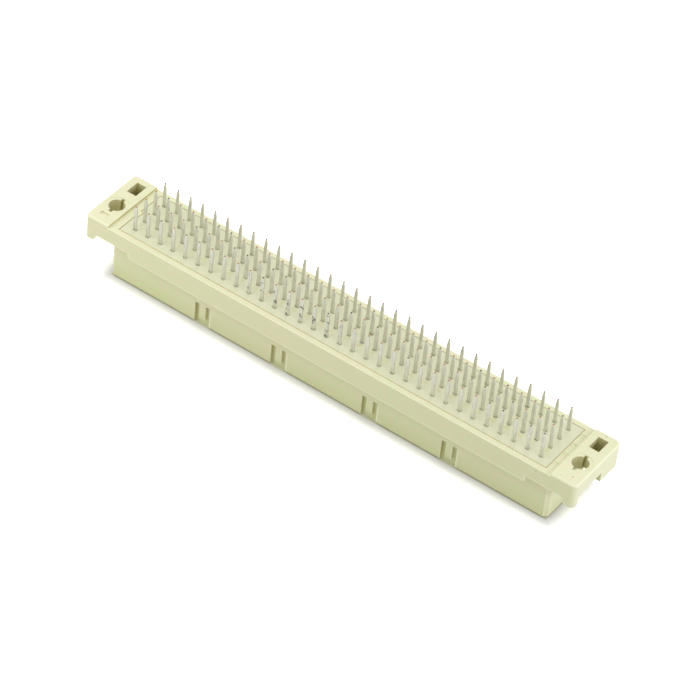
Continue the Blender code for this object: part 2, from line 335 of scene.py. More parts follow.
class NodeTree:
    """A short way to write down shader nodes and their links."""

    def __init__(self, tree: bpy.types.NodeTree) -> None:
        """Takes the tree that the nodes go into."""
        self.tree = tree

    def node(self, kind: str, inputs: dict | None = None, **settings: object) -> bpy.types.Node:
        """Adds a node.

        Args:
            kind: Blender's name of the node's type.
            inputs: Its sockets by name or number, each with a value or a socket that feeds it.
            **settings: The node's own properties.

        Returns:
            The new node.
        """
        made = self.tree.nodes.new(kind)
        for name, value in settings.items():
            setattr(made, name, value)
        for name, value in (inputs or {}).items():
            self.feed(made.inputs[name], value)
        return made

    def math(self, operation: str, *values: object) -> Socket:
        """Adds a Math node, and returns what it puts out."""
        return self.node("ShaderNodeMath", dict(enumerate(values)), operation=operation).outputs[0]

    def ramp(self, value: Socket, low: float, high: float) -> Socket:
        """Maps a value smoothly from 0 at low to 1 at high."""
        made = self.node("ShaderNodeMapRange", {"Value": value, "From Min": low, "From Max": high},
                         interpolation_type="SMOOTHSTEP")
        return made.outputs["Result"]

    def mix(self, factor: object, first: object, second: object, blend: str = "MIX") -> Socket:
        """Mixes two colours, and returns the mixed one."""
        made = self.node("ShaderNodeMix", {0: factor, 6: first, 7: second}, data_type="RGBA",
                         blend_type=blend)
        return made.outputs[2]

    def feed(self, socket: Socket, value: object) -> None:
        """Links a socket to another, or gives it a plain value.

        Args:
            socket: The socket that is fed.
            value: A socket that puts out the value, or the value, a colour without alpha.
        """
        if isinstance(value, Socket):
            self.tree.links.new(value, socket)
        else:
            socket.default_value = (*value, 1.0) if socket.type == "RGBA" else value

    def place(self) -> Socket:
        """Adds the object's own coordinates."""
        return self.node("ShaderNodeTexCoord").outputs["Object"]

    def mark(self, name: str) -> Socket:
        """Reads a mark that the mesh carries."""
        return self.node("ShaderNodeAttribute", attribute_name=name).outputs["Fac"]

    def vector(self, operation: str, *values: object) -> Socket:
        """Adds a Vector Math node, and returns the vector that it puts out."""
        return self.node("ShaderNodeVectorMath", dict(enumerate(values)),
                         operation=operation).outputs[0]

    def along(self, place: Socket, axis: str) -> Socket:
        """Takes a place's X, Y or Z."""
        return self.node("ShaderNodeSeparateXYZ", {0: place}).outputs[axis]

    def noise(self, place: Socket, size: float,
              detail: float) -> Socket:
        """Adds noise with blotches of about the given size, and returns its value."""
        made = self.node("ShaderNodeTexNoise", {"Vector": place, "Scale": 1 / size,
                                                "Detail": detail})
        return made.outputs[0]

    def past(self, place: Socket, reach: Place) -> Socket:
        """Measures how far a place lies outside a box round the origin.

        Args:
            place: The place.
            reach: The box's half sides.

        Returns:
            The distance, which is 0 inside.
        """
        for operation, other in (("ABSOLUTE", reach), ("SUBTRACT", reach),
                                 ("MAXIMUM", (0.0, 0.0, 0.0))):
            place = self.vector(operation, place, other)
        return self.node("ShaderNodeVectorMath", {0: place}, operation="LENGTH").outputs["Value"]

    def surface(self, colour: Socket, rough: Socket, relief: Socket, depth: float,
                metallic: float = 0.0) -> None:
        """Adds a material's shader and its output.

        Args:
            colour: Its colour.
            rough: Its roughness.
            relief: The height of its fine relief.
            depth: How deep that relief is.
            metallic: 1 for metal.
        """
        bump = self.node("ShaderNodeBump", {"Height": relief, "Strength": 1.0, "Distance": depth})
        shader = self.node("ShaderNodeBsdfPrincipled", {
            "Base Color": colour, "Roughness": rough, "Normal": bump.outputs["Normal"],
            "Metallic": metallic})
        self.node("ShaderNodeOutputMaterial", {"Surface": shader.outputs[0]})


def cleared_tree(owner: bpy.types.Material | bpy.types.World) -> NodeTree:
    """Starts the nodes of a material or a world afresh.

    Args:
        owner: The material or world.

    Returns:
        Its nodes, of which there are none yet.
    """
    owner.use_nodes = True
    owner.node_tree.nodes.clear()
    return NodeTree(owner.node_tree)


@dataclass(frozen=True)
class MouldedSkin:
    """The shader group that draws the skin of moulded plastic, shared by all plastics.

    Attributes:
        cloud: Size of the broad, faint changes of tone.
        mottle: Size of the small warm and cool patches.
        grain: Size of the eroded mould's grain.
        fleck: Distance between the cells that may hold a dark fleck.
        fleck_radius: A fleck's radius, as a share of its cell.
        fleck_share: Share of the cells that hold one.
        cloud_band: Where the broad noise passes from one tone to the other.
        mottle_band: Where the patches' noise does.
        mottle_relief: How much the patches add to the grain's relief.
    """

    cloud: float = 14 * MM
    mottle: float = 0.55 * MM
    grain: float = 0.13 * MM
    fleck: float = 1.7 * MM
    fleck_radius: float = 0.055
    fleck_share: float = 0.09
    cloud_band: Pair = (0.38, 0.66)
    mottle_band: Pair = (0.36, 0.66)
    mottle_relief: float = 0.6

    def build(self) -> bpy.types.NodeTree:
        """Builds the group.

        Returns:
            A group that takes a place and four colours, and puts out Colour, Tone and Height.
        """
        group = bpy.data.node_groups.new("moulded_skin", "ShaderNodeTree")
        for name, kind in (("Place", "NodeSocketVector"), ("Colour", "NodeSocketColor"),
                           ("Cloud Colour", "NodeSocketColor"), ("Warm Colour", "NodeSocketColor"),
                           ("Fleck Colour", "NodeSocketColor")):
            group.interface.new_socket(name, in_out="INPUT", socket_type=kind)
        for name, kind in (("Colour", "NodeSocketColor"), ("Tone", "NodeSocketFloat"),
                           ("Height", "NodeSocketFloat")):
            group.interface.new_socket(name, in_out="OUTPUT", socket_type=kind)
        tree = NodeTree(group)
        given = tree.node("NodeGroupInput").outputs
        cloud = tree.noise(given["Place"], self.cloud, detail=3.0)
        mottle = tree.noise(given["Place"], self.mottle, detail=1.5)
        colour = tree.mix(tree.ramp(cloud, *self.cloud_band), given["Colour"],
                          given["Cloud Colour"])
        colour = tree.mix(tree.ramp(mottle, *self.mottle_band), colour, given["Warm Colour"])
        cells = tree.node("ShaderNodeTexVoronoi", {"Vector": given["Place"],
                                                   "Scale": 1 / self.fleck})
        near = tree.ramp(cells.outputs["Distance"], self.fleck_radius, self.fleck_radius / 2)
        chosen = tree.node("ShaderNodeSeparateColor", {"Color": cells.outputs["Color"]}).outputs[0]
        fleck = tree.math("MULTIPLY", near, tree.math("LESS_THAN", chosen, self.fleck_share))
        colour = tree.mix(fleck, colour, given["Fleck Colour"])
        grain = tree.noise(given["Place"], self.grain, detail=2.0)
        height = tree.math("MULTIPLY_ADD", mottle, self.mottle_relief, grain)
        tree.node("NodeGroupOutput", {"Colour": colour, "Tone": cloud, "Height": height})
        return group


@dataclass(frozen=True)
class StainAndHighlight:
    """A small spot of dirt that the surface carries, or a line of painted highlight.

    Attributes:
        place: Its middle.
        radius: How far it reaches, all round its core.
        colour: Its colour.
        depth: How much of the plastic's colour it covers, up to 1.
        core: Half sides of its core, which is a point unless it is drawn out.
        full: Share of the radius that it covers in full.
    """

    place: Place
    radius: float
    colour: Colour
    depth: float
    core: Place = (0.0, 0.0, 0.0)
    full: float = 0.3


@dataclass(frozen=True)
class MouldedPlastic:
    """Matt moulded plastic.

    Attributes:
        name: The material's name.
        colour: The plastic's own colour.
        cloud_colour: What the colour drifts to over broad patches.
        warm_colour: The warmer tone of the small patches.
        edge_highlight_and_shade: Painted tone of the rounded edges: a painted highlight on the
            housing, painted shade on the plate.
        crevice_shade_colour: The painted shade of gaps, holes and corners that light hardly
            reaches.
        crevice_shade_reach: How near the walls of such a place stand.
        wall_shade_colour: The golden-brown painted shade on low walls and in holes.
        fleck_colour: The dark flecks in the plastic.
        roughness: Roughness of the flat faces.
        edge_polish: How much smoother the rounded edges are.
        grain_depth: Depth of the mould's grain.
        stains_and_highlights: Dirt spots on it, and lines of painted highlight.
        low_shade_tint: Painted shade towards the mating face: what the colour is multiplied by
            there.
        low_shade_reach: Height at which that painted shade begins.
        edge_cover: How much of that painted edge tone shows, up to 1.
        crevice_shade_sky: Share of open sky below which the painted shade begins.
        sky_samples: Rays that measure it.
        rough_spread: How much the roughness changes from patch to patch.
    """

    name: str
    colour: Colour
    cloud_colour: Colour
    warm_colour: Colour
    edge_highlight_and_shade: Colour
    crevice_shade_colour: Colour = (0.31, 0.25, 0.045)
    crevice_shade_reach: float = 2.4 * MM
    wall_shade_colour: Colour = (0.54, 0.49, 0.20)
    fleck_colour: Colour = (0.42, 0.38, 0.22)
    roughness: float = 0.5
    edge_polish: float = 0.12
    grain_depth: float = 0.006 * MM
    stains_and_highlights: tuple[StainAndHighlight, ...] = ()
    low_shade_tint: Colour = (1.0, 1.0, 1.0)
    low_shade_reach: float = 4.7 * MM
    edge_cover: float = 0.9
    crevice_shade_sky: float = 0.4
    sky_samples: int = 8
    rough_spread: float = 0.12

    def stained_and_highlit(self, tree: NodeTree, place: Socket,
                colour: Socket) -> Socket:
        """Adds the dirt spots and the painted highlight lines to a colour.

        Args:
            tree: The material's nodes.
            place: Object coordinates.
            colour: The colour so far.

        Returns:
            The colour with them on it.
        """
        for stain_or_highlight in self.stains_and_highlights:
            away = tree.past(tree.vector("SUBTRACT", place, stain_or_highlight.place), stain_or_highlight.core)
            cover = tree.ramp(away, stain_or_highlight.radius, stain_or_highlight.full * stain_or_highlight.radius)
            cover = tree.math("MULTIPLY", cover, stain_or_highlight.depth)
            colour = tree.mix(cover, colour, stain_or_highlight.colour)
        return colour

    def build(self, skin: bpy.types.NodeTree) -> bpy.types.Material:
        """Builds the material.

        Args:
            skin: The shared group of moulded plastic.

        Returns:
            The finished material.
        """
        made = bpy.data.materials.new(self.name)
        tree = cleared_tree(made)
        place = tree.place()
        skinned = tree.node("ShaderNodeGroup", {
            "Place": place, "Colour": self.colour, "Cloud Colour": self.cloud_colour,
            "Warm Colour": self.warm_colour, "Fleck Colour": self.fleck_colour,
        }, node_tree=skin).outputs
        edge = tree.mark(EDGE_MARK)
        # Painted shade: the colour darkens and turns greener towards the mating face.
        low = tree.ramp(tree.along(place, "Z"), self.low_shade_reach, 0.0)
        colour = tree.mix(low, skinned["Colour"], self.low_shade_tint, blend="MULTIPLY")
        colour = self.stained_and_highlit(tree, place, colour)
        # Painted highlight on the housing's rounded edges, lip bands and upper chamfers, and
        # painted shade on the plate's rim, wherever the edge mark is set.
        colour = tree.mix(tree.math("MULTIPLY", edge, self.edge_cover), colour, self.edge_highlight_and_shade)
        # Painted shade, golden brown, on the marked low walls and the walls of holes and windows.
        colour = tree.mix(tree.mark(WALL_SHADE_MARK), colour, self.wall_shade_colour)
        # Painted shade: where ambient occlusion finds little open sky, the colour turns to the
        # dark crevice tone.
        open_sky = tree.node("ShaderNodeAmbientOcclusion", {"Distance": self.crevice_shade_reach},
                             samples=self.sky_samples).outputs["AO"]
        colour = tree.mix(tree.ramp(open_sky, self.crevice_shade_sky, 0.0), colour, self.crevice_shade_colour)
        rough = tree.math("MULTIPLY_ADD", skinned["Tone"], self.rough_spread,
                          self.roughness - self.rough_spread / 2)
        rough = tree.math("MULTIPLY_ADD", edge, -self.edge_polish, rough)
        tree.surface(colour, rough, skinned["Height"], self.grain_depth)
        return made


@dataclass(frozen=True)
class TinnedStrip:
    """Tin-plated copper alloy, cut through at the tips.

    Attributes:
        grid: Where the contacts stand.
        tip: Height of the tips.
        name: The material's name.
        tin: The plating's colour.
        dull_tin: Its duller streaks.
        copper: The bare metal of a cut end.
        dark_copper: A cut end that has gone dark.
        dark_share: Share of the ends that have gone dark.
        dark_spot: Dark spots on some tails of the front row.
        dark_spot_columns: The columns between which they lie, counted from 0.
        roughness: Roughness of the plating.
        bare_reach: How far a cut end's bare metal reaches down.
        dark_spot_fade: How far the spotted columns fade out at each side, in pitches.
        dark_spot_size: Size of the spots.
        dark_spot_band: Where the spots' noise passes from plating to dark spot.
        dark_spot_cover: How much of the plating a spot covers, up to 1.
        streak: Width of the streaks, which run along the strip.
        streak_squeeze: Scale of their pattern along the strip.
        streak_band: Where their noise passes from bright to dull.
        streak_depth: Depth of their relief.
        patch: Size of the patches of roughness.
        rough_spread: How much the roughness changes from patch to patch.
        bare_roughness: How much rougher a cut end is.
    """

    grid: ContactGrid
    tip: float
    name: str = "tin_plated_strip"
    tin: Colour = (0.76, 0.76, 0.68)
    dull_tin: Colour = (0.66, 0.65, 0.57)
    copper: Colour = (0.42, 0.19, 0.10)
    dark_copper: Colour = (0.10, 0.075, 0.05)
    dark_share: float = 0.26
    dark_spot: Colour = (0.06, 0.06, 0.07)
    dark_spot_columns: Pair = (9.0, 15.5)
    roughness: float = 0.54
    bare_reach: float = 0.07 * MM
    dark_spot_fade: float = 1.5
    dark_spot_size: float = 0.6 * MM
    dark_spot_band: Pair = (0.56, 0.64)
    dark_spot_cover: float = 0.75
    streak: float = 0.2 * MM
    streak_squeeze: float = 0.16
    streak_band: Pair = (0.40, 0.72)
    streak_depth: float = 0.003 * MM
    patch: float = 0.5 * MM
    rough_spread: float = 0.22
    bare_roughness: float = 0.2

    def dark_spot_mask(self, tree: NodeTree, place: Socket) -> Socket:
        """Masks the dark spots.

        Args:
            tree: The material's nodes.
            place: Object coordinates.

        Returns:
            A mask that is 1 in the spots.
        """
        x = tree.along(place, "X")
        first, last = (self.grid.column_x(column) for column in self.dark_spot_columns)
        fade = self.dark_spot_fade * self.grid.pitch
        band = tree.math("MULTIPLY", tree.ramp(x, first - fade, first + fade),
                         tree.ramp(x, last + fade, last - fade))
        behind = self.grid.row_y(Row.A) + self.grid.pitch / 2
        band = tree.math("MULTIPLY", band,
                         tree.math("LESS_THAN", tree.along(place, "Y"), behind))
        spots = tree.ramp(tree.noise(place, self.dark_spot_size, detail=2.5), *self.dark_spot_band)
        return tree.math("MULTIPLY", band, spots)

    def build(self) -> bpy.types.Material:
        """Builds the material.

        Returns:
            The finished material.
        """
        made = bpy.data.materials.new(self.name)
        tree = cleared_tree(made)
        place = tree.place()
        drawn_out = tree.node("ShaderNodeMapping", {
            "Vector": place, "Scale": (1.0, 1.0, self.streak_squeeze)}).outputs[0]
        streaks = tree.noise(drawn_out, self.streak, detail=2.0)
        patches = tree.noise(place, self.patch, detail=2.0)
        pitch = self.grid.pitch
        corner = (self.grid.left - pitch / 2, self.grid.front - pitch / 2, 0.0)
        cell = tree.vector("MULTIPLY", tree.vector("SUBTRACT", place, corner),
                           (1 / pitch, 1 / pitch, 0.0))
        chance = tree.node("ShaderNodeTexWhiteNoise", {"Vector": tree.vector("FLOOR", cell)},
                           noise_dimensions="3D").outputs["Value"]
        colour = tree.mix(tree.ramp(streaks, *self.streak_band), self.tin, self.dull_tin)
        dark_spots = tree.math("MULTIPLY", self.dark_spot_mask(tree, place), self.dark_spot_cover)
        colour = tree.mix(dark_spots, colour, self.dark_spot)
        end = tree.mix(tree.math("LESS_THAN", chance, self.dark_share), self.copper,
                       self.dark_copper)
        bare = tree.ramp(tree.along(place, "Z"), self.tip - self.bare_reach,
                         self.tip - self.bare_reach / 2)
        colour = tree.mix(bare, colour, end)
        rough = tree.math("MULTIPLY_ADD", patches, self.rough_spread,
                          self.roughness - self.rough_spread / 2)
        rough = tree.math("MULTIPLY_ADD", bare, self.bare_roughness, rough)
        tree.surface(colour, rough, streaks, self.streak_depth, metallic=1.0)
        return made


@dataclass
class Housing:
    """The one-piece moulding, with its edges rounded as the mould leaves them.

    Attributes:
        grid: Where the contacts stand.
        edge_radius: Rounding of the outer edges and of the windows and their tongues.
        window_pitches: Places of the windows along X, in pitches.
        window_half: Half width of the windows.
        window_top: Height of the windows.
        jamb: From a window's middle to inside its jambs.
        lip: Width of the painted highlight band along the lower edge of the flange's long sides.
        lip_highlight: How strong that painted highlight is, up to 1.
        lip_top: Height that the band stays below.
        ear_chamfer_highlight: How strong the painted highlight on the ears' chamfers is, up to 1.
        low_wall: Walls no higher than this get painted shade.
        low_wall_shade: How much painted shade they get, up to 1.
        hole_shade: How much painted shade the walls of holes and windows get, up to 1.
        upper_share: Chamfers above this share of the height get a painted highlight.
        rim_radius: Rounding of the rims of the pocket and the ear holes.
        hairline_radius: Rounding of the shallow seat round the screw holes.
        least_turn: Edges that turn less are part of a round, and are left.
        flat_turn: Edges that turn less than this only part one flat face.
        hole_inset: From an ear's end to the middles of its holes.
        screw_hole_y: Place of the screw hole along Y.
        seat_reach: A circle that holds the seat round the screw hole.
        seat_depth: A little more than the seat is sunk.
        square_hole: Half sides of a box round the square hole, along X and Y.
        square_hole_y: Place of the square hole along Y.
        pocket_half: Half sides of the pocket, along X and Y.
        mouth_reach: From a contact's middle to outside its cavity's mouth.
        recess_depth: Depth of the sunk field on the left ear.
        end_field_depth: Depth of the square fields at the right end.
        end_field: Side of the square fields at the right end.
        end_field_x: Place of those fields along X.
        ear_field: Sides of the field on the left ear.
        ear_field_place: Place of that field, in plan.
        top: Height of the ears.
        side: Half the housing's width.
        end: Half its length.
    """

    grid: ContactGrid
    edge_radius: float = 0.07 * MM
    window_pitches: Pair = (3.5, 9.5)
    window_half: float = 1.5 * MM
    window_top: float = 4.3 * MM
    jamb: float = 1.25 * MM
    lip: float = 0.3 * MM
    lip_highlight: float = 0.65
    lip_top: float = 7.9 * MM
    ear_chamfer_highlight: float = 0.4
    low_wall: float = 0.6 * MM
    low_wall_shade: float = 0.75
    hole_shade: float = 0.55
    upper_share: float = 0.75
    rim_radius: float = 0.03 * MM
    hairline_radius: float = 0.02 * MM
    least_turn: float = math.radians(22)
    flat_turn: float = math.radians(1)
    hole_inset: float = 2.5 * MM
    screw_hole_y: float = -1.45 * MM
    seat_reach: float = 2.1 * MM
    seat_depth: float = 0.1 * MM
    square_hole: Pair = (1.0 * MM, 1.5 * MM)
    square_hole_y: float = 3.68 * MM
    pocket_half: Pair = (41.5 * MM, 5.5 * MM)
    mouth_reach: float = 0.9 * MM
    recess_depth: float = 0.16 * MM
    end_field_depth: float = 0.05 * MM
    end_field: float = 0.9 * MM
    end_field_x: float = 42.1 * MM
    ear_field: Pair = (1.5 * MM, 0.75 * MM)
    ear_field_place: Pair = (-45.15 * MM, -4.5 * MM)
    top: float = field(init=False)
    side: float = field(init=False)
    end: float = field(init=False)

    def __post_init__(self) -> None:
        """Reads the ears' height and the housing's reach from the frame."""
        self.end, self.side, self.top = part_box("housing")[1]

    def merged_copy(self) -> Shape:
        """Copies the CAD solid, with its loose triangles merged into whole faces.

        Returns:
            The copy.
        """
        bm = shape_of(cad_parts["housing"].data)
        bmesh.ops.remove_doubles(bm, verts=bm.verts, dist=MERGE)
        bmesh.ops.dissolve_limit(bm, angle_limit=self.flat_turn, verts=bm.verts, edges=bm.edges)
        return bm

    def in_seat(self, x: float, y: float) -> bool:
        """Whether a place in plan lies in the seat round a screw hole."""
        across = abs(x) - (self.end - self.hole_inset)
        return math.hypot(across, y - self.screw_hole_y) < self.seat_reach

    def in_square_hole(self, x: float, y: float) -> bool:
        """Whether a place in plan lies in or at a square hole."""
        across = abs(abs(x) - (self.end - self.hole_inset)) < self.square_hole[0]
        return across and abs(y - self.square_hole_y) < self.square_hole[1]

    def from_window(self, x: float) -> float:
        """Distance of a place along X from the middle of the nearest window."""
        return min(abs(abs(x) - pitches * self.grid.pitch) for pitches in self.window_pitches)

    def window_edges(self) -> tuple[float, ...]:
        """Places along X of the windows' right edges."""
        middles = (side * pitches * self.grid.pitch for pitches in self.window_pitches
                   for side in (-1, 1))
        return tuple(middle + self.window_half for middle in middles)

    def in_window(self, x: float, z: float) -> bool:
        """Whether a place on a long side lies in a window or on its edge."""
        return self.from_window(x) < self.window_half and z < self.window_top + MERGE

    def at_cavities(self, x: float, y: float) -> bool:
        """Whether a place in plan lies in the field of cavities."""
        return (abs(x) < self.mouth_reach - self.grid.left
                and abs(y) < self.mouth_reach - self.grid.front)

    def in_pocket(self, x: float, y: float) -> bool:
        """Whether a place in plan lies in the pocket or on its rim."""
        return abs(x) < self.pocket_half[0] and abs(y) < self.pocket_half[1]

    def radius_for(self, edge: bmesh.types.BMEdge) -> float:
        """Says how far to round an edge.

        Args:
            edge: An edge of the merged copy.

        Returns:
            The rounding's radius, or 0 for an edge that stays as it is.
        """
        if len(edge.link_faces) != 2 or edge.calc_face_angle_signed() < self.least_turn:
            return 0.0
        first, second = (vert.co for vert in edge.verts)
        middle = (first + second) / 2
        level = abs(first.z - second.z) < MERGE
        if self.in_seat(middle.x, middle.y):
            seat = level and middle.z > self.top - self.seat_depth
            outer = middle.z > self.top - MERGE
            return (self.hairline_radius if outer else self.rim_radius) * seat
        if self.in_square_hole(middle.x, middle.y):
            return self.rim_radius * (level and middle.z > self.top - MERGE)
        if self.in_pocket(middle.x, middle.y) and middle.z > self.top / 2:
            return self.rim_radius * (level and middle.z > self.grid.face - MERGE)
        return 0.0 if self.at_cavities(middle.x, middle.y) else self.edge_radius

    def rounded(self) -> Shape:
        """Rounds the edges, the finest first, and marks the rounded and chamfered faces.

        Returns:
            The shape, with the strength of its painted edge highlight as an attribute of the
            faces.
        """
        bm = self.merged_copy()
        mark = bm.faces.layers.float.new(EDGE_MARK)
        sides = [face for face in bm.faces if abs(face.calc_center_median().y) > self.side - MERGE]
        # Painted highlight: the band round the long sides' faces, below lip_top, is marked for the
        # light edge tone.
        for face in bmesh.ops.inset_individual(bm, faces=sides, thickness=self.lip,
                                               use_even_offset=True)["faces"]:
            face[mark] = self.lip_highlight * (face.calc_center_median().z < self.lip_top)
        for radius, segments in ((self.hairline_radius, 1), (self.rim_radius, 2),
                                 (self.edge_radius, 3)):
            edges = [edge for edge in bm.edges if self.radius_for(edge) == radius
                     and all(face[mark] < 1.0 for face in edge.link_faces)]
            for face in round_edges(bm, edges, radius, segments):
                face[mark] = 1.0
        bm.normal_update()
        # Painted highlight: the upper chamfers are marked to take the light edge tone.
        for face in bm.faces:
            height = face.calc_center_median().z
            if WALL < face.normal.z < LEVEL and height > self.upper_share * self.top:
                face[mark] = self.ear_chamfer_highlight if height > self.grid.face else 1.0
        return bm

    def wall_shade_share(self, place: Vector, normal: Vector, low: float, high: float) -> float:
        """Says how much painted shade a face gets.

        Args:
            place: The face's middle.
            normal: Its normal.
            low: Height of its lowest corner.
            high: Height of its highest corner.

        Returns:
            The share of the plastic's colour that the painted shade covers.
        """
        outside = abs(place.x) > self.end - self.lip or abs(place.y) > self.side - self.lip
        if abs(normal.z) > WALL or outside:
            return 0.0
        if self.in_seat(place.x, place.y) or self.in_square_hole(place.x, place.y):
            return self.hole_shade * (high > self.grid.face)
        if high - low < self.low_wall and low > self.grid.face - self.recess_depth:
            return self.low_wall_shade
        # Painted shade on the left jambs of the windows.
        left_jamb = normal.x > FACING and self.from_window(place.x) > self.jamb
        return self.hole_shade * (left_jamb and self.in_window(place.x, place.z))

    def mark_wall_shade(self, mesh: bpy.types.Mesh) -> None:
        """Marks the walls that get painted shade: low ones on top, and those of holes and windows.

        Args:
            mesh: The housing's mesh.
        """
        mark = mesh.attributes.new(WALL_SHADE_MARK, "FLOAT", "FACE")
        for face in mesh.polygons:
            heights = [mesh.vertices[index].co.z for index in face.vertices]
            mark.data[face.index].value = self.wall_shade_share(face.center, face.normal, min(heights),
                                                        max(heights))

    def fields(self) -> bpy.types.Object:
        """Makes the cutter of the small sunk fields on the right end and the left ear.

        Returns:
            The cutter.
        """
        bm = bmesh.new()
        for row in Row:
            add_box(bm, (self.end_field_x, self.grid.row_y(row), self.grid.face),
                    (self.end_field, self.end_field, 2 * self.end_field_depth))
        add_box(bm, (*self.ear_field_place, self.top), (*self.ear_field, 2 * self.recess_depth))
        return object_from("fields_cut", bm)

    def build(self, finish: bpy.types.Material) -> None:
        """Builds the housing.

        Args:
            finish: Its plastic.
        """
        obj = object_from("housing_moulding", self.rounded())
        cut(obj, self.fields())
        self.mark_wall_shade(obj.data)
        shade_round(obj)
        dress(obj, finish, Slot.HOUSING, "housing")


@dataclass
class LocatingPlate:
    """The thin plate in the pocket, with a round hole for each tail.

    Attributes:
        grid: Where the contacts stand.
        thickness: The plate's thickness.
        side_growth: How much nearer to the pocket's walls it comes than the CAD plate.
        slot: Width and length of the slots that the tails stand in.
        hole: Diameter of the round dimple at each slot.
        hole_depth: Depth of the dimples.
        hole_segments: Flats round a dimple.
        key: Half width of the notch that clears the key, and its middle along Y.
        key_depth: Depth of that notch.
        rim_radius: Rounding of the upper rim.
        hole_chamfer: Chamfer of the holes.
        rim_turn: Edges on top that turn less are no rims.
    """

    grid: ContactGrid
    thickness: float = 1.2 * MM
    side_growth: float = 0.17 * MM
    slot: Pair = (0.64 * MM, 0.40 * MM)
    hole: float = 0.8 * MM
    hole_depth: float = 0.05 * MM
    hole_segments: int = 20
    key: Pair = (0.78 * MM, -0.52 * MM)
    key_depth: float = 0.50 * MM
    rim_radius: float = 0.12 * MM
    hole_chamfer: float = 0.03 * MM
    rim_turn: float = math.radians(60)

    def blank(self) -> bpy.types.Object:
        """Makes the plate before it is cut.

        Returns:
            The blank.
        """
        low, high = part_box("locating_plate")
        middle, size = (low + high) / 2, high - low
        bm = bmesh.new()
        add_box(bm, (middle.x, middle.y, self.grid.face - self.thickness / 2),
                (size.x + 2 * self.side_growth, size.y + 2 * self.side_growth, self.thickness))
        return object_from("tail_plate", bm)

    def openings(self) -> bpy.types.Object:
        """Makes the cutter of the holes and of the notch round the key.

        Returns:
            The cutter.
        """
        bm = bmesh.new()
        half, middle = self.key
        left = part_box("locating_plate")[0].x - self.side_growth
        add_box(bm, (left, middle, self.grid.face),
                (2 * self.key_depth, 2 * half, 3 * self.thickness))
        for spot in self.grid.spots():
            add_box(bm, spot, (*self.slot, 3 * self.thickness))
        return object_from("openings_cut", bm)

    def dimples(self) -> bpy.types.Object:
        """Makes the cutter of the round dimples at the slots.

        Returns:
            The cutter.
        """
        bm = bmesh.new()
        for spot in self.grid.spots():
            add_disc(bm, spot, (self.hole / 2, self.hole / 2), 2 * self.hole_depth,
                     self.hole_segments)
        return object_from("dimples_cut", bm)

    def build(self, finish: bpy.types.Material) -> None:
        """Builds the plate.

        Args:
            finish: Its plastic.
        """
        obj = self.blank()
        cut(obj, self.openings())
        cut(obj, self.dimples())
        bm = shape_of(obj.data)
        mark = bm.faces.layers.float.new(EDGE_MARK)
        top = [edge for edge in bm.edges
               if all(vert.co.z > self.grid.face - MERGE for vert in edge.verts)
               and edge.calc_face_angle_signed(0.0) > self.rim_turn]
        longest = 2 * math.pi * self.hole / self.hole_segments
        holes = [edge for edge in top if edge.calc_length() < longest]
        rim = [edge for edge in top if edge.calc_length() >= longest]
        # Painted shade: the rim's rounding is marked, and the plate's edge tone colours it golden
        # brown like the shaded gap beside it.
        for face in round_edges(bm, rim, self.rim_radius, 2):
            face[mark] = 1.0
        holes = [edge for edge in holes if edge.is_valid]
        round_edges(bm, holes, self.hole_chamfer, 1)
        settled(bm, obj.data)
        shade_round(obj)
        dress(obj, finish, Slot.PLATE, "locating_plate")


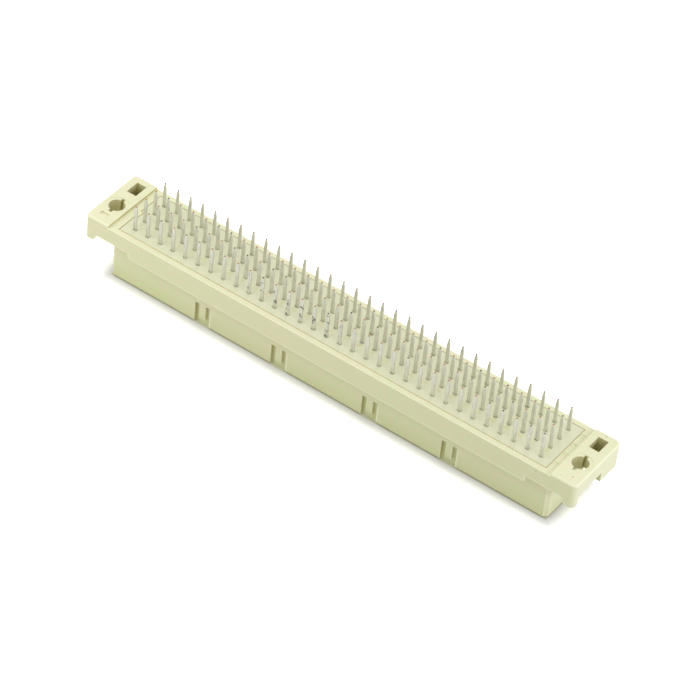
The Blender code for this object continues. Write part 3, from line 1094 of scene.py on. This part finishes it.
@dataclass
class Contacts:
    """The stamped contacts: a fork in the cavity, a tail through the plate.

    Attributes:
        grid: Where they stand.
        tail_width: Width of the tail.
        thickness: Thickness of the strip.
        tip_taper: Length of the tapered tip.
        tip: Width and thickness of its cut end.
        fork_width: Width over the fork.
        slot_width: Width of its slot.
        slot_length: Length of its slot.
        lead_in: How far the slot's mouth opens.
        shoulder: Height of the shoulder that the strip seats on, below the plate's top.
        edge_radius: Rounding of the tail's long edges.
        lean: Spread of the tips about their places, as handling leaves them.
        lean_share: How much of the tail leans, as a share of the taper.
        sharp_above: Edges that turn more than this stay sharp.
        seed: Seed of that spread.
        low: Height of the forks' ends.
        high: Height of the tips.
        chance: The source of the spread.
    """

    grid: ContactGrid
    tail_width: float = 0.6 * MM
    thickness: float = 0.36 * MM
    tip_taper: float = 1.0 * MM
    tip: Pair = (0.28 * MM, 0.22 * MM)
    fork_width: float = 1.0 * MM
    slot_width: float = 0.4 * MM
    slot_length: float = 4.2 * MM
    lead_in: float = 0.12 * MM
    shoulder: float = 1.7 * MM
    edge_radius: float = 0.09 * MM
    lean: float = 0.025 * MM
    lean_share: float = 1.2
    sharp_above: float = math.radians(50)
    seed: int = 11
    low: float = field(init=False)
    high: float = field(init=False)
    chance: random.Random = field(init=False)

    def __post_init__(self) -> None:
        """Reads a contact's reach from the frame."""
        low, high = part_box("contact_a01")
        self.low, self.high = low.z, high.z
        self.chance = random.Random(self.seed)

    def strip(self) -> bpy.types.Mesh:
        """Makes one contact on the Z axis: half its outline, thickened, rounded and mirrored.

        Returns:
            Its mesh.
        """
        shoulder = self.grid.face - self.shoulder
        tail, fork, slot = self.tail_width / 2, self.fork_width / 2, self.slot_width / 2
        outline = ((0.0, self.high), (self.tip[0] / 2, self.high),
                   (tail, self.high - self.tip_taper), (tail, shoulder), (fork, shoulder),
                   (fork, self.low), (slot + self.lead_in, self.low),
                   (slot, self.low + 2 * self.lead_in), (slot, self.low + self.slot_length),
                   (0.0, self.low + self.slot_length))
        bm = bmesh.new()
        sheet = bm.faces.new([bm.verts.new((x, -self.thickness / 2, z)) for x, z in outline])
        grown = bmesh.ops.extrude_face_region(bm, geom=[sheet])["geom"]
        back = [item for item in grown if isinstance(item, bmesh.types.BMVert)]
        bmesh.ops.translate(bm, verts=back, vec=(0.0, self.thickness, 0.0))
        for vert in bm.verts:
            if vert.co.z > self.high - MERGE:
                vert.co.y *= self.tip[1] / self.thickness
        long_edges = [edge for edge in bm.edges
                      if min(vert.co.x for vert in edge.verts) > MERGE
                      and min(vert.co.z for vert in edge.verts) > shoulder - MERGE
                      and abs(edge.verts[0].co.z - edge.verts[1].co.z) > MERGE]
        round_edges(bm, long_edges, self.edge_radius, 2)
        middle = [face for face in bm.faces if all(abs(vert.co.x) < MERGE for vert in face.verts)]
        bmesh.ops.delete(bm, geom=middle, context="FACES_ONLY")
        bmesh.ops.mirror(bm, geom=[*bm.verts, *bm.edges, *bm.faces], matrix=Matrix.Identity(4),
                         merge_dist=MERGE, axis="X")
        bmesh.ops.recalc_face_normals(bm, faces=bm.faces)
        return settled(bm, bpy.data.meshes.new("strip"))

    def add_contact(self, bm: Shape, strip: bpy.types.Mesh, column: int,
                    row: Row) -> None:
        """Adds one contact to a bmesh, with its tip a little off its place.

        Args:
            bm: The shape that it joins.
            strip: The contact on the Z axis.
            column: Its column, counted from 0.
            row: Its row.
        """
        old = set(bm.verts)
        bm.from_mesh(strip)
        new = [vert for vert in bm.verts if vert not in old]
        place = (self.grid.column_x(column), self.grid.row_y(row), 0.0)
        bmesh.ops.translate(bm, verts=new, vec=place)
        tips = [vert for vert in new if vert.co.z > self.high - self.lean_share * self.tip_taper]
        off = (self.chance.gauss(0.0, self.lean), self.chance.gauss(0.0, self.lean), 0.0)
        bmesh.ops.translate(bm, verts=tips, vec=off)

    def build(self, finish: bpy.types.Material) -> None:
        """Builds all four rows: the front row contact by contact, each other row whole.

        Args:
            finish: The plating.
        """
        strip = self.strip()
        made = []
        for column in range(self.grid.columns):
            bm = bmesh.new()
            self.add_contact(bm, strip, column, Row.A)
            obj = object_from(f"tail_contact_a{column + 1:02d}", bm)
            made.append((obj, f"contact_a{column + 1:02d}"))
        for row in (Row.B, Row.C, Row.D):
            bm = bmesh.new()
            for column in range(self.grid.columns):
                self.add_contact(bm, strip, column, row)
            made.append((object_from(f"tail_contacts_{row.name.lower()}", bm), "locating_plate"))
        for obj, node in made:
            shade_round(obj, self.sharp_above)
            dress(obj, finish, Slot.CONTACT, node)


@dataclass
class Figures:
    """The raised figures: a number for each column, and one for each row at the right end.

    Attributes:
        grid: Where the contacts stand.
        moulding: The housing, with the sunk fields that the row numbers stand in.
        height: Height of the column numbers.
        row_height: Height of the row numbers.
        relief: How far they stand up.
        offset: From the front row back to the column numbers.
        digit_share: Height of a digit as a share of the font's size.
    """

    grid: ContactGrid
    moulding: Housing
    height: float = 0.8 * MM
    row_height: float = 0.5 * MM
    relief: float = 0.055 * MM
    offset: float = 1.55 * MM
    digit_share: float = 0.7

    def add_figure(self, bm: Shape, text: str, place: Place, height: float) -> None:
        """Adds a number to a bmesh, half sunk in the surface that it stands on.

        Args:
            bm: The shape that it joins.
            text: The number.
            place: Its middle, on the surface.
            height: Its height.
        """
        curve = bpy.data.curves.new("figure", "FONT")
        curve.body = text
        curve.size = height / self.digit_share
        curve.align_x = "CENTER"
        curve.align_y = "CENTER"
        curve.extrude = self.relief
        curve.resolution_u = 2
        written = linked_object("figure", curve)
        graph = bpy.context.evaluated_depsgraph_get()
        mesh = bpy.data.meshes.new_from_object(written.evaluated_get(graph))
        mesh.transform(Matrix.Translation(place))
        bm.from_mesh(mesh)
        bpy.data.objects.remove(written)

    @staticmethod
    def complete(name: str, bm: Shape, finish: bpy.types.Material, slot: Slot, node: str) -> None:
        """Closes the figures' seams, merges slivers of their caps, and dresses them.

        Args:
            name: The piece's name.
            bm: The figures.
            finish: Their plastic.
            slot: The slot of that plastic.
            node: The CAD node that they belong to.
        """
        bmesh.ops.remove_doubles(bm, verts=bm.verts, dist=MERGE / 4)
        slivers = [face for face in bm.faces if face.calc_area() < MERGE ** 2]
        longest = {max(face.edges, key=bmesh.types.BMEdge.calc_length) for face in slivers}
        bmesh.ops.dissolve_edges(bm, edges=list(longest))
        bmesh.ops.recalc_face_normals(bm, faces=bm.faces)
        dress(object_from(name, bm), finish, slot, node)

    def build(self, plate_finish: bpy.types.Material,
              housing_finish: bpy.types.Material) -> None:
        """Builds the figures on the plate and those at the housing's right end.

        Args:
            plate_finish: Plastic of the column numbers.
            housing_finish: Plastic of the row numbers.
        """
        bm = bmesh.new()
        for column in range(self.grid.columns):
            place = (self.grid.column_x(column), self.grid.front + self.offset, self.grid.face)
            self.add_figure(bm, str(column + 1), place, self.height)
        self.complete("column_figures", bm, plate_finish, Slot.PLATE, "locating_plate")
        bm = bmesh.new()
        for row in Row:
            place = (self.moulding.end_field_x, self.grid.row_y(row),
                     self.grid.face - self.moulding.end_field_depth)
            self.add_figure(bm, str(row.value + 1), place, self.row_height)
        self.complete("row_figures", bm, housing_finish, Slot.HOUSING, "housing")


@dataclass(frozen=True)
class Softbox:
    """A square soft lamp.

    Attributes:
        name: Its name.
        azimuth: The side that it stands on, in degrees: 0 is the front, 90 the right.
        elevation: Its height above the horizon, in degrees.
        distance: From the object's middle.
        side: Its side.
        level: What it adds to a white surface that faces it.
        aim: The place that it points at.
        mirrored: Whether shiny surfaces mirror it.
        colour: The colour of its light.
    """

    name: str
    azimuth: float
    elevation: float
    distance: float
    side: float
    level: float
    aim: Place = (0.0, 0.0, 0.008)
    mirrored: bool = True
    colour: Colour = (1.0, 1.0, 1.0)

    def build(self) -> None:
        """Puts the lamp in the scene."""
        lamp = bpy.data.lights.new(self.name, "AREA")
        lamp.color = self.colour
        lamp.shape = "SQUARE"
        lamp.size = self.side
        lamp.energy = self.level * math.pi * math.pi * self.distance ** 2
        obj = linked_object(self.name, lamp)
        away = direction(self.azimuth, self.elevation)
        obj.location = Vector(self.aim) + away * self.distance
        obj.rotation_euler = away.to_track_quat("Z", "Y").to_euler()
        obj.visible_glossy = self.mirrored


@dataclass(frozen=True)
class PhotoCamera:
    """The camera, where the photograph's stood.

    Attributes:
        azimuth: The side that it looks from, in degrees.
        elevation: Its height above the horizon, in degrees.
        roll: Its turn about its own axis, in degrees.
        distance: From what it points at.
        focal: Focal length, in pixels of a picture that is picture pixels wide.
        picture: The picture's width in pixels.
        aim: The place in the middle of the picture.
        sensor: Width of Blender's sensor, in its own millimetres.
    """

    azimuth: float = 31.37
    elevation: float = 43.135
    roll: float = 6.521
    distance: float = 565.8 * MM
    focal: float = 3623.7
    picture: int = 700
    aim: Place = (3.42 * MM, -3.92 * MM, 10.63 * MM)
    sensor: float = 36.0

    def build(self) -> None:
        """Makes the scene's camera."""
        data = bpy.data.cameras.new("photo_camera")
        data.sensor_width = self.sensor
        data.lens = self.sensor * self.focal / self.picture
        back = direction(self.azimuth, self.elevation)
        level = Matrix((direction(self.azimuth + 90, 0.0),
                        back.cross(direction(self.azimuth + 90, 0.0)), back)).transposed()
        turned = Matrix.Rotation(math.radians(self.roll), 3, back) @ level
        obj = linked_object("photo_camera", data)
        obj.matrix_world = Matrix.LocRotScale(Vector(self.aim) + back * self.distance,
                                              turned.to_quaternion(), None)
        bpy.context.scene.camera = obj


@dataclass
class Studio:
    """A white table under soft lamps, and the camera.

    Attributes:
        camera: The camera.
        lamps: The softboxes.
        footprint: Half sides of the mating end, which stands on the floor.
        ambient: Light that comes from all round.
        floor_side: Side of the floor.
        floor_gap: How far the floor lies below the connector, so that they don't flicker.
        floor_bounce: Colour of the floor as it lights the object.
        floor_mirrored: How white the floor in front and the floor behind look in shiny
            floor_shown: How white the floor looks near the connector, where the darker value is a
                painted
        shadow, and away from it: 1 is its plain lit colour.
            plain lit colour.
        shade_reach: How far from the connector the nearer, painted-shadow value holds sway.
        floor_painted_shade: Painted shade and bounce colour of the floor under the mating end,
        seen in the feet of the windows.
    """

    camera: PhotoCamera
    lamps: tuple[Softbox, ...]
    footprint: Pair = (42.75 * MM, 5.3 * MM)
    ambient: float = 0.6
    floor_side: float = 4.0
    floor_gap: float = 0.01 * MM
    floor_bounce: Colour = (0.53, 0.53, 0.44)
    floor_mirrored: Pair = (1.0, 1.6)
    floor_shown: Pair = (0.84, 1.9)
    shade_reach: float = 3.5 * MM
    floor_painted_shade: Colour = (0.67, 0.67, 0.51)

    @staticmethod
    def seen(tree: NodeTree) -> Socket:
        """Adds a mask that is 1 for rays that show the background.

        Args:
            tree: The world's nodes.

        Returns:
            The mask.
        """
        path = tree.node("ShaderNodeLightPath").outputs
        mirrored = tree.math("MAXIMUM", path["Is Glossy Ray"], path["Is Transmission Ray"])
        return tree.math("MAXIMUM", path["Is Camera Ray"], mirrored)

    def shown_colour(self, tree: NodeTree) -> Socket:
        """Works out the colour that the floor shows at each place.

        Args:
            tree: The floor's nodes.

        Returns:
            A painted shadow near the mating end that whitens with distance, and painted shade
            under it.
        """
        away = tree.past(tree.place(), (*self.footprint, self.floor_gap))
        near, far = self.floor_shown
        # Painted shadow: near the connector the floor shows darker than further away.
        white = tree.ramp(away, 0.0, self.shade_reach)
        white = tree.math("MULTIPLY_ADD", white, far - near, near)
        # Painted shade: under the mating end the floor takes the body's shaded colour.
        return tree.mix(tree.math("GREATER_THAN", away, MERGE), self.floor_painted_shade, white)

    def lay_floor(self) -> None:
        """Lays the floor, which keeps the connector's shadow."""
        bm = bmesh.new()
        bmesh.ops.create_grid(bm, x_segments=1, y_segments=1, size=self.floor_side / 2,
                              matrix=Matrix.Translation((0.0, 0.0, -self.floor_gap)))
        floor = object_from("floor", bm)
        made = bpy.data.materials.new("white_table")
        tree = cleared_tree(made)
        path = tree.node("ShaderNodeLightPath").outputs
        behind = tree.ramp(tree.along(tree.place(), "Y"), -self.footprint[1], self.footprint[1])
        front, back = self.floor_mirrored
        mirrored = tree.math("MULTIPLY_ADD", behind, back - front, front)
        colour = tree.mix(path["Is Glossy Ray"], self.floor_bounce, mirrored)
        colour = tree.mix(path["Is Camera Ray"], colour, self.shown_colour(tree))
        surface = tree.node("ShaderNodeBsdfDiffuse", {"Color": colour}).outputs[0]
        tree.node("ShaderNodeOutputMaterial", {"Surface": surface})
        floor.data.materials.append(made)

    def light_room(self) -> None:
        """Sets the light from all round, with a white background for the camera and in gloss."""
        world = bpy.data.worlds.new("white_room")
        tree = cleared_tree(world)
        strength = tree.node("ShaderNodeMapRange", {
            "Value": self.seen(tree), "To Min": self.ambient, "To Max": 1.0}).outputs["Result"]
        light = tree.node("ShaderNodeBackground", {"Color": (1.0, 1.0, 1.0),
                                                   "Strength": strength}).outputs[0]
        tree.node("ShaderNodeOutputWorld", {"Surface": light})
        bpy.context.scene.world = world

    def build(self) -> None:
        """Builds the studio."""
        self.lay_floor()
        self.light_room()
        for lamp in self.lamps:
            lamp.build()
        self.camera.build()
        bpy.context.scene.view_settings.view_transform = "Standard"


def plastics(moulding: Housing,
             edge_highlight: Colour = (0.95, 0.945, 0.68)) -> tuple[MouldedPlastic, ...]:
    """Gives the plastics of the housing, the plate and the plate's figures.

    Args:
        moulding: The housing, whose windows' right edges get a painted highlight.
        edge_highlight: The painted highlight on the housing's edges and on the windows' right
            edges.

    Returns:
        The three finishes.
    """
    ear, flange = moulding.top, moulding.grid.face - 0.63 * MM
    stains_and_highlights = (
        StainAndHighlight((45.8 * MM, -4.8 * MM, ear), 0.22 * MM, (0.34, 0.34, 0.36), 0.6),
        StainAndHighlight((40.3 * MM, -6.5 * MM, flange), 0.22 * MM, (0.42, 0.36, 0.22), 0.6),
        StainAndHighlight((45.0 * MM, 5.8 * MM, ear), 0.28 * MM, (0.45, 0.45, 0.24), 0.6),
        # Painted highlights: light lines along the windows' right edges.
        *(StainAndHighlight((x + 0.12 * MM, 0.0, 2.0 * MM), 0.2 * MM, edge_highlight, 0.85, core=(0.0, 6 * MM, 2.0 * MM))
          for x in moulding.window_edges()),
    )
    housing = MouldedPlastic(
        name="ivory_moulding", colour=(0.80, 0.81, 0.52), cloud_colour=(0.77, 0.82, 0.49),
        warm_colour=(0.83, 0.79, 0.53), edge_highlight_and_shade=edge_highlight, stains_and_highlights=stains_and_highlights,
        low_shade_tint=(0.88, 0.91, 0.79))
    # The plate's edge tone is painted shade: a golden-brown line along its rim, by the gap.
    plate = MouldedPlastic(
        name="pale_moulding", colour=(0.74, 0.757, 0.525), cloud_colour=(0.715, 0.75, 0.48),
        warm_colour=(0.755, 0.745, 0.53), edge_highlight_and_shade=(0.58, 0.50, 0.20), roughness=0.55)
    figures = MouldedPlastic(
        name="figure_moulding", colour=(0.80, 0.78, 0.46), cloud_colour=(0.76, 0.76, 0.42),
        warm_colour=(0.82, 0.77, 0.46), edge_highlight_and_shade=(0.80, 0.80, 0.60), roughness=0.55)
    return housing, plate, figures


def softboxes() -> tuple[Softbox, ...]:
    """Gives the lamps, which were fitted to the light in the photograph."""
    return (
        Softbox("right_softbox", azimuth=85, elevation=12, distance=0.6, side=0.5, level=0.54,
                colour=(0.98, 0.98, 1.25)),
        Softbox("left_softbox", azimuth=-45, elevation=15, distance=0.22, side=0.14, level=0.16,
                mirrored=False),
        Softbox("near_softbox", azimuth=-50, elevation=35, distance=0.12, side=0.08, level=0.18,
                aim=(-45 * MM, 0.0, 10 * MM), mirrored=False),
        Softbox("rear_softbox", azimuth=190, elevation=40, distance=0.6, side=0.4, level=0.16),
        Softbox("top_softbox", azimuth=0, elevation=80, distance=0.6, side=0.4, level=0.18),
    )


def main() -> None:
    """Builds the connector's looks and the studio."""
    logging.basicConfig(level=logging.INFO, format="%(message)s")
    grid = ContactGrid.from_frame()
    skin = MouldedSkin().build()
    moulding = Housing(grid)
    housing, plate, figures = (finish.build(skin) for finish in plastics(moulding))
    contacts = Contacts(grid)
    moulding.build(housing)
    LocatingPlate(grid).build(plate)
    contacts.build(TinnedStrip(grid, contacts.high).build())
    Figures(grid, moulding).build(figures, housing)
    Studio(PhotoCamera(), softboxes()).build()


if __name__ == "__main__":
    main()
